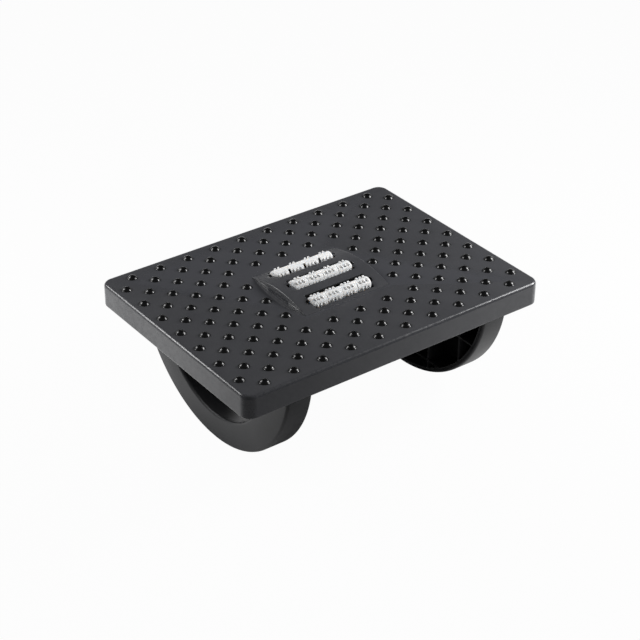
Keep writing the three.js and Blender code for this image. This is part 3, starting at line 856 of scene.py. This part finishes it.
def field_outline(sizes, row, low, high):
    """The slot's points pushed out to the rectangle that surrounds the slot"""
    half_x = sizes.half_length - sizes.fillet
    quarter = slot_quarter(sizes, 0.0)
    side_steps = FIELD_LEAVE - FIELD_TURN
    reach = quarter[FIELD_LEAVE][0] - half_x

    def pushed(edge):
        points = [(half_x, edge * step / FIELD_TURN) for step in range(FIELD_TURN + 1)]
        points += [(half_x + reach * step / side_steps, edge) for step in range(1, side_steps + 1)]
        return points + [(x, edge) for x, _ in quarter[FIELD_LEAVE + 1:]]

    return whole_outline(pushed(high - row), pushed(row - low))


class MakePanel(bpy.types.Operator):
    """Builds the arched panel with its three slots"""

    bl_idname = "footrest.make_panel"
    bl_label = "Make panel"

    def execute(self, context):
        sizes, platform, rollers, finishes = settings("panel", "platform", "roller", "finishes")
        deck = platform.deck
        rows = sorted(place.y for place in ROLLER_AXES.values())
        radius = (sizes.half_depth ** 2 + sizes.rise ** 2) / (2 * sizes.rise)
        centre = deck + sizes.rise - radius

        def arch(y, depth=0.0):
            return centre + sqrt((radius - depth) ** 2 - y * y)

        form, inside = Form(), Form()
        edges = [-sizes.half_depth, *((low + high) / 2 for low, high in zip(rows, rows[1:])),
                 sizes.half_depth]
        fields = list(zip(rows, edges, edges[1:]))
        for depth in (0.0, sizes.wall):
            for field in fields:
                self.add_field(form, sizes, arch, field, depth)
        for row in rows:
            self.add_slot_wall(form, inside, sizes, arch, row)
        self.add_ends(form, sizes, arch, fields, deck)
        self.add_bearings(inside, sizes, arch, rows, rollers.axle_radius)
        finish = finish_of("charcoal_panel", finishes.panel, 0.44, finishes.grain, bump=0.2,
                           specular=0.42, dust=0.02, wear=0.5, reach=0.03, polish=0.6, worn=1.2)
        put(form, "roller_panel_cover", ["roller_panel"], finish, sharp=32.0)
        # The inner slot walls and the bearings get the darker copy of the charcoal: painted shade
        shade = finish_of("charcoal_shaded", finishes.inside, 0.6, finishes.grain, dust=0.0,
                          specular=0.2)
        put(inside, "roller_panel_bearings", [], shade, sharp=32.0)
        return {"FINISHED"}

    def add_field(self, form, sizes, arch, field, depth):
        """The arched surface round one slot, outside or inside the panel"""
        row = field[0]
        near = slot_outline(sizes, sizes.slot_round if depth == 0.0 else 0.0)
        rings = []
        for part in (0.0, 0.25, 0.5, 0.75, 1.0):
            outline = [(x0 + (x1 - x0) * part, row + y0 + (y1 - y0) * part)
                       for (x0, y0), (x1, y1) in zip(near, field_outline(sizes, *field))]
            rings.append([(x, y, arch(y, depth)) for x, y in outline])
        form.loft(rings, caps=False)

    def add_slot_wall(self, form, inside, sizes, arch, row):
        small = sizes.slot_round
        rings = [[(x, row + y, arch(row + y) + drop) for x, y in slot_outline(sizes, outset)]
                 for outset, drop in arc(small, -small, small, pi / 2, pi, 3)]
        form.loft(rings, caps=False)
        foot = [(x, row + y, arch(row + y, sizes.wall)) for x, y in slot_outline(sizes)]
        # The slot wall's lower band goes to the inside form, which gets painted shade
        inside.loft([rings[-1], foot], caps=False)

    def add_ends(self, form, sizes, arch, fields, deck):
        """Rounded edge, side wall and inner wall at each end, and the front and back walls"""
        half_x = sizes.half_length - sizes.fillet
        inner_x = sizes.half_length - sizes.wall
        places = sorted({round(field[0] + y, 7) for field in fields
                         for x, y in field_outline(sizes, *field) if abs(abs(x) - half_x) < WELD})

        def rounding(y):
            return min(sizes.fillet, max(arch(y) - deck, 0.0) * 0.6 + sizes.edge_round)

        def below(y):
            return max(arch(y) - deck - rounding(y), 0.0)

        for side in (-1, 1):
            lines = [[(side * half_x, y, arch(y)) for y in places]]
            for turn in (pi / 2 * step / 8 for step in range(9)):
                lines.append([(side * (sizes.half_length - rounding(y) * (1 - sin(turn))), y,
                               arch(y) - rounding(y) * (1 - cos(turn))) for y in places])
            for down, inset in GROOVE_LINES:
                line = []
                for y in places:
                    groove = min(1.0, below(y) / sizes.fillet) * sizes.groove_depth * inset
                    line.append((side * (sizes.half_length - groove), y,
                                 arch(y) - rounding(y) - below(y) * down))
                lines.append(line)
            lines.append([(side * sizes.half_length, y, sizes.foot) for y in places])
            lines.append([(side * inner_x, y, sizes.foot) for y in places])
            lines.append([(side * inner_x, y, arch(y, sizes.wall)) for y in places])
            lines.append([(side * half_x, y, arch(y, sizes.wall)) for y in places])
            form.loft(lines, caps=False, closed=False)
        for y in (-sizes.half_depth, sizes.half_depth):
            form.block((-sizes.half_length, y, sizes.foot),
                       (sizes.half_length, y - copysign(sizes.wall, y),
                        arch(y) - sizes.edge_round / 2), sizes.edge_round)

    def add_bearings(self, form, sizes, arch, rows, axle_radius):
        """Walls under the slots' ends, open round each axle"""
        low = TRAY_LOW.z + sizes.tray_wall + sizes.groove_depth
        bore = axle_radius + sizes.groove_depth
        spans = [-sizes.half_depth + sizes.wall]
        for row in rows:
            spans += [row - bore, row + bore]
        spans.append(sizes.half_depth - sizes.wall)
        for side in (-1, 1):
            near, far = sorted((side * sizes.notch_half_length,
                                side * (sizes.notch_half_length + sizes.bearing_wall)))
            for start, end in zip(spans[::2], spans[1::2]):
                lines = []
                for y in (start + (end - start) * step / 12 for step in range(13)):
                    high = arch(y, sizes.wall * 0.6)
                    lines.append([(near, y, low), (far, y, low), (far, y, high), (near, y, high)])
                form.loft(lines)


class MakeTray(bpy.types.Operator):
    """Builds the tray that closes the panel from below"""

    bl_idname = "footrest.make_tray"
    bl_label = "Make tray"

    def execute(self, context):
        sizes, rollers, screws, finishes = settings("panel", "roller", "screws", "finishes")
        low, top, small = TRAY_LOW.z, TRAY_LOW.z + sizes.tray_wall, sizes.slot_round
        rim_gap, rim_wall, stop_length, stop_half = 0.007, 0.003, 0.0035, 0.004
        rim_x, rim_y = sizes.half_length + rim_gap, sizes.half_depth + rim_gap
        rim_top = sizes.foot - screws.seat
        form = Form()
        form.loft([rounded_ring(TRAY_HIGH.x, TRAY_HIGH.y, sizes.tray_corner, inset, TRAY_STEPS, z)
                   for inset, z in ((small, low), (small * 0.3, low + small * 0.3),
                                    (0.0, low + small), (0.0, top - small), (small, top))])
        for x in (-rim_x, rim_x):
            form.block((x, -rim_y, top - small), (x - copysign(rim_wall, x), rim_y, rim_top),
                       small / 2)
        for y in (-rim_y, rim_y):
            form.block((-rim_x, y, top - small), (rim_x, y - copysign(rim_wall, y), rim_top),
                       small / 2)
        for place in ROLLER_AXES.values():
            high = place.z - rollers.axle_radius - sizes.groove_depth
            for side in (-1, 1):
                form.block((side * rollers.axle_half, place.y - stop_half, top - small),
                           (side * (rollers.axle_half - stop_length), place.y + stop_half, high),
                           small / 2)
        # The tray gets the darker copy of the charcoal: painted shade under the panel
        finish = finish_of("charcoal_tray_painted_shade", finishes.inside, 0.55, finishes.grain, dust=0.0,
                           specular=0.3)
        put(form, "roller_tray_moulding", ["roller_tray"], finish)
        return {"FINISHED"}


class MakeRollers(bpy.types.Operator):
    """Builds the finned massage rollers, each riding on its own body"""

    bl_idname = "footrest.make_rollers"
    bl_label = "Make massage rollers"

    def execute(self, context):
        sizes, finishes = settings("roller", "finishes")
        finish = finish_of("roller_plastic_satin", finishes.roller, 0.38, finishes.grain,
                           drift=1.06, worn=1.1, dust=0.02, bump=0.12, through=0.7)
        # Painted shade: a near black for the windows' lower walls and floors, standing in for the
        # dark inside of the hollow roller
        shade = finish_of("roller_hollow_shaded", (0.012, 0.012, 0.012), 0.7, finishes.grain,
                          dust=0.0, specular=0.2)
        for body, (window, reversed_ends) in ROLLER_TURNS.items():
            form, hollow = Form(), Form()
            self.add_core(form, hollow, sizes)
            self.add_fins(form, sizes)
            turn = Matrix.Rotation(radians(180.0 - window), 4, "X")
            if reversed_ends:
                turn = turn @ Matrix.Rotation(pi, 4, "Y")
            for part in (form, hollow):
                part.verts = moved([part.verts], ROLLER_AXES[body], turn)[0]
            name = "massage_roller_" + body.split("_")[0]
            put(hollow, name + "_hollow", [], shade, body=body)
            put(form, name + "_finned", [name], finish, body=body, sharp=42.0)
        return {"FINISHED"}

    def add_core(self, form, hollow, sizes):
        """Round body, opened by a row of windows between its sections; each window's lower walls
        and floor are a dark sheet of painted shade
        """
        half, radius, bend = sizes.half_length, sizes.radius, sizes.end_round
        running_gap, narrow = 0.0001, 8
        w, g, d = sizes.window_width / 2, sizes.groove_width / 2, sizes.groove_depth
        bore = sizes.axle_radius + running_gap
        turns = [pi * step / 12 for step in range(1, 7)]
        seams = [(index - sizes.sections / 2) * sizes.section for index in range(1, sizes.sections)]
        profile = [(-half, bore), (-half, radius - bend)]
        profile += [(-half + bend - bend * cos(t), radius - bend + bend * sin(t)) for t in turns]
        for seam in seams:
            profile += [(seam - w, radius), (seam - g, radius), (seam - g * 0.7, radius - d * 0.3),
                        (seam, radius - d), (seam + g * 0.7, radius - d * 0.3),
                        (seam + g, radius), (seam + w, radius)]
        profile += [(half - bend + bend * cos(t), radius - bend + bend * sin(t))
                    for t in reversed(turns)]
        profile += [(half, radius - bend), (half, bore)]

        reach = asin(sizes.window_length / 2 / radius)
        wide = sizes.sides - narrow
        across = [-reach + 2 * reach * step / narrow for step in range(narrow + 1)]
        back = [reach - 2 * reach * step / narrow for step in range(1, narrow)]
        turns = across[:-1] + [reach + (2 * pi - 2 * reach) * step / wide for step in range(wide)]
        size = len(turns)
        faces = []
        for row, ((x0, _), (x1, _)) in enumerate(zip(profile, profile[1:])):
            cut = any(abs((x0 + x1) / 2 - seam) < w for seam in seams)
            faces += band(row * size, (row + 1) * size, size)[narrow if cut else 0:]
        faces += band(0, (len(profile) - 1) * size, size)
        form.add([(x, r * cos(t), r * sin(t)) for x, r in profile for t in turns], faces)
        for seam in seams:
            rows = [(x, r) for x, r in profile if abs(x - seam) < w + WELD]
            loop = [(x, r, -reach) for x, r in rows]
            loop += [(*rows[-1], turn) for turn in across[1:]]
            loop += [(x, r, reach) for x, r in reversed(rows[:-1])]
            loop += [(*rows[0], turn) for turn in back]
            rim = [(x, r * cos(t), r * sin(t)) for x, r, t in loop]
            lip = [(x, y - d, z) for x, y, z in rim]
            # The sunk walls and the floor go to the hollow form, a dark sheet of painted shade
            sunk = [(x, sizes.window_floor, z) for x, _, z in rim]
            total = len(loop)
            walls = band(0, total, total)
            form.add(rim + lip, walls)
            hollow.add(lip + sunk, walls + [list(range(total, 2 * total))])

    def add_fins(self, form, sizes):
        """Rows of small rounded fins, lofted from outlines that shrink as they rise"""
        top, height = sizes.fin_top_share, sizes.fin_height
        rings = []
        for scale, lift in ((1.12, -sizes.fin_root), (1.08, 0.0), (0.97, 0.00035),
                            ((1 + top) / 2, height * 0.6), (top * 1.02, height * 0.88),
                            (top * 0.82, height * 0.98), (top * 0.5, height)):
            half_x, half_z = sizes.fin_width * scale / 2, sizes.fin_length * scale / 2
            outline = rounded_outline(half_x, half_z, half_x * 0.6, 3)
            rings.append([(x, sizes.radius + lift, z) for x, z in outline])
        for degrees, fins in FIN_ROWS:
            turn = Matrix.Rotation(radians(degrees), 4, "X")
            for index in range(sizes.sections):
                middle = (index - (sizes.sections - 1) / 2) * sizes.section
                for place in range(fins):
                    along = middle + (place - (fins - 1) / 2) * sizes.fin_spacing
                    form.loft(moved(rings, Vector((along, 0.0, 0.0)), turn))


class MakeAxles(bpy.types.Operator):
    """Builds the steel axles of the rollers"""

    bl_idname = "footrest.make_axles"
    bl_label = "Make axles"

    def execute(self, context):
        sizes, finishes = settings("roller", "finishes")
        half, radius, cut = sizes.axle_half, sizes.axle_radius, sizes.axle_chamfer
        profile = [(radius - cut, -half), (radius - cut * 0.3, cut * 0.3 - half),
                   (radius, cut - half), (radius, half - cut),
                   (radius - cut * 0.3, half - cut * 0.3), (radius - cut, half)]
        finish = finish_of("axle_steel_drawn", finishes.axle, 0.34, finishes.grain, metal=1.0,
                           bump=0.15, dust=0.0, worn=1.5)
        lie = Matrix.Rotation(pi / 2, 4, "Y")
        for body, place in ROLLER_AXES.items():
            form = Form()
            form.loft(moved(lathe_rings(profile, AXLE_SIDES), place, lie))
            name = "roller_axle_" + body.split("_")[0]
            put(form, name + "_pin", [name], finish)
        return {"FINISHED"}


class MakeScrews(bpy.types.Operator):
    """Builds the cross-recessed screws under the rockers' flanges and the tray"""

    bl_idname = "footrest.make_screws"
    bl_label = "Make screws"

    def execute(self, context):
        sizes, rocker, panel, finishes = settings("screws", "rocker", "panel", "finishes")
        finish = finish_of("screw_steel_plated", finishes.screw, 0.3, finishes.grain, metal=1.0,
                           bump=0.1, dust=0.0, worn=1.3)
        kinds = {
            "rocker": (sizes.rocker_shank, sizes.rocker_head, sizes.rocker_length,
                       rocker.rail_foot),
            "tray": (sizes.tray_shank, sizes.tray_head, sizes.tray_length, TRAY_LOW.z),
        }
        for (kind, (shank, head, reach, seat)), places in zip(kinds.items(),
                                                              screw_places(rocker, panel)):
            form = Form()
            rings = self.screw_rings(sizes, shank, head, reach)
            for x, y in places:
                form.loft(moved(rings, Vector((x, y, seat - sizes.seat))))
            nodes = [f"{kind}_screw_{index + 1}" for index in range(SCREW_COUNTS[kind])]
            put(form, f"{kind}_screws", nodes, finish)
        return {"FINISHED"}

    def screw_rings(self, sizes, shank, head, reach):
        """From the tip down to the head, and up into the cross recess"""
        turns = [2 * pi * (step + 3) / SCREW_SIDES for step in range(SCREW_SIDES)]

        def circle(radius, z):
            return [(radius * cos(t), radius * sin(t), z) for t in turns]

        def cross(scale, z):
            w, arm = sizes.recess_width / 2 * scale, head * 0.54 * scale
            quarter = [(w, w), (w, (w + arm) / 2), (w, arm), (0.0, arm), (-w, arm),
                       (-w, (w + arm) / 2)]
            points = []
            for step in range(4):
                c, s = cos(step * pi / 2), sin(step * pi / 2)
                points += [(c * x - s * y, s * x + c * y, z) for x, y in quarter]
            return points

        high = sizes.head_height
        rings = [circle(shank * 0.5, reach), circle(shank, reach - shank), circle(shank, 0.0),
                 circle(head * 0.96, 0.0), circle(head, -high * 0.15), circle(head, -high * 0.4)]
        rings += [circle(head * (0.62 + 0.38 * cos(t)), -high * (0.4 + 0.6 * sin(t)))
                  for t in (pi / 2 * step / 5 for step in range(1, 5))]
        return rings + [circle(head * 0.6, -high), cross(1.0, -high),
                        cross(0.92, sizes.recess_depth * 0.7 - high),
                        cross(0.5, sizes.recess_depth - high)]


class MakeStudio(bpy.types.Operator):
    """Builds the camera, the pale floor, the surroundings and the soft lights"""

    bl_idname = "footrest.make_studio"
    bl_label = "Make studio"

    def execute(self, context):
        scene, studio = context.scene, context.scene.footrest_studio
        self.make_camera(scene, studio)
        self.make_floor(scene, studio)
        self.make_world(scene, studio)
        for name, (place, watts) in LIGHTS.items():
            data = bpy.data.lights.new(name, "AREA")
            data.size = LIGHT_SIZE
            data.energy = watts
            lamp = bpy.data.objects.new(name, data)
            lamp.location = place
            lamp.rotation_euler = (LIGHT_AIM - place).to_track_quat("-Z", "Y").to_euler()
            scene.collection.objects.link(lamp)
        scene.view_settings.view_transform = "Standard"
        return {"FINISHED"}

    def make_camera(self, scene, studio):
        data = bpy.data.cameras.new("photo_camera")
        data.lens = studio.lens
        data.sensor_width = SENSOR_WIDTH
        data.clip_start, data.clip_end = CAMERA_REACH
        camera = bpy.data.objects.new("photo_camera", data)
        level, side, ahead = cos(studio.elevation), sin(studio.azimuth), cos(studio.azimuth)
        sight = Vector((side * level, ahead * level, -sin(studio.elevation)))
        right = Vector((ahead, -side, 0.0))
        up = right.cross(sight)
        tilt = Matrix.Rotation(-studio.roll, 3, sight)
        turn = Matrix((tilt @ right, tilt @ up, -sight)).transposed()
        camera.matrix_world = Matrix.Translation(CAMERA_PLACE) @ turn.to_4x4()
        scene.collection.objects.link(camera)
        scene.camera = camera

    def make_floor(self, scene, studio):
        """A pale floor that is seen nearly white; reflections see it as painted light, brighter
        along a slope and mirrored darker under the part as a painted shadow
        """
        mesh = bpy.data.meshes.new("floor")
        corners = [(x, y, 0.0) for x, y in four_corners(FLOOR_HALF, FLOOR_HALF)]
        mesh.from_pydata(corners, [], [(0, 1, 2, 3)])
        floor = bpy.data.objects.new("floor", mesh)
        scene.collection.objects.link(floor)
        material = bpy.data.materials.new("pale_floor")
        material.use_nodes = True
        tree = material.node_tree
        shader = tree.nodes["Principled BSDF"]
        shader.inputs["Base Color"].default_value = (*studio.floor_colour, 1.0)
        shader.inputs["Roughness"].default_value = 0.9
        shader.inputs["Specular IOR Level"].default_value = 0.1
        path = add_node(tree, "LightPath").outputs
        place = place_of(tree)
        # Painted reflection: for reflected rays the floor glows more along a slope, and a painted
        # shadow patch under the part dims it
        across = vector_calc(tree, "DOT_PRODUCT", place, PAINTED_REFLECTION_SLOPE, "Value")
        shade = (1 / studio.painted_shadow_length, 1 / studio.painted_shadow_depth, 0.0)
        out = vector_calc(tree, "MULTIPLY", place, shade, "Vector")
        out = add_node(tree, "VectorMath", {0: out}, operation="LENGTH").outputs["Value"]
        mirrored = calc(tree, "MULTIPLY", path["Is Glossy Ray"], spread(tree, across, -1.0, -0.2))
        mirrored = calc(tree, "MULTIPLY", mirrored, spread(tree, out, 0.75, 1.15))
        seen = calc(tree, "ADD", path["Is Camera Ray"], mirrored)
        seen = calc(tree, "MINIMUM", calc(tree, "ADD", seen, path["Is Transmission Ray"]), 1.0)
        extra = calc(tree, "MULTIPLY", path["Is Glossy Ray"], studio.mirrored)
        glow = add_node(tree, "Emission", {"Strength": calc(tree, "ADD", extra, 1.0)})
        mix = add_node(tree, "MixShader", {
            "Fac": calc(tree, "MULTIPLY", seen, studio.floor_lift), 1: shader.outputs["BSDF"],
            2: glow.outputs["Emission"]})
        feed(tree, tree.nodes["Material Output"].inputs["Surface"], mix.outputs["Shader"])
        mesh.materials.append(material)

    def make_world(self, scene, studio):
        """Walls that are bright near the horizon behind the part, and a dim ceiling"""
        world = bpy.data.worlds.new("studio_walls")
        world.use_nodes = True
        scene.world = world
        tree = world.node_tree
        place = place_of(tree, "Generated")
        height = add_node(tree, "SeparateXYZ", {"Vector": place}).outputs["Z"]
        sight = (sin(studio.azimuth), cos(studio.azimuth), 0.0)
        ahead = vector_calc(tree, "DOT_PRODUCT", place, sight, "Value")
        near = spread(tree, ahead, -0.3, 0.3, studio.fill + studio.ceiling, studio.ceiling)
        far = calc(tree, "MULTIPLY", spread(tree, ahead, -0.3, 0.3),
                   spread(tree, height, 0.06, 0.18, studio.horizon, 0.0))
        path = add_node(tree, "LightPath").outputs
        bright = calc(tree, "MAXIMUM", calc(tree, "ADD", near, far), path["Is Camera Ray"])
        tone = add_node(tree, "CombineColor", {"Red": bright, "Green": bright, "Blue": bright})
        feed(tree, tree.nodes["Background"].inputs["Color"], tone.outputs["Color"])
        tree.nodes["Background"].inputs["Strength"].default_value = 1.0


STEPS = (MakePlatform, MakeStuds, MakeUnderside, MakeRockers, MakePanel, MakeTray, MakeRollers,
         MakeAxles, MakeScrews, MakeStudio)
SETTINGS = {
    "footrest_platform": PlatformSizes,
    "footrest_studs": StudSizes,
    "footrest_rocker": RockerSizes,
    "footrest_panel": PanelSizes,
    "footrest_roller": RollerSizes,
    "footrest_screws": ScrewSizes,
    "footrest_finishes": Finishes,
    "footrest_studio": Studio,
}


class FootrestPanel(bpy.types.Panel):
    """Lists the steps and the sizes of the footrest"""

    bl_idname = "VIEW3D_PT_footrest"
    bl_label = "Tilting footrest"
    bl_space_type = "VIEW_3D"
    bl_region_type = "UI"
    bl_category = "Footrest"

    def draw(self, context):
        for step in STEPS:
            self.layout.operator(step.bl_idname)
        for name, group_class in SETTINGS.items():
            box = self.layout.box()
            box.label(text=group_class.__doc__)
            for label in group_class.__annotations__:
                box.prop(getattr(context.scene, name), label,
                         text=label.replace("_", " ").capitalize())


def register():
    for shown in (*SETTINGS.values(), *STEPS, FootrestPanel):
        bpy.utils.register_class(shown)
    for name, group_class in SETTINGS.items():
        setattr(bpy.types.Scene, name, PointerProperty(type=group_class))


def unregister():
    for name in SETTINGS:
        delattr(bpy.types.Scene, name)
    for shown in reversed((*SETTINGS.values(), *STEPS, FootrestPanel)):
        bpy.utils.unregister_class(shown)


def main():
    register()
    for step in STEPS:
        family, action = step.bl_idname.split(".")
        getattr(getattr(bpy.ops, family), action)()


if __name__ == "__main__":
    main()
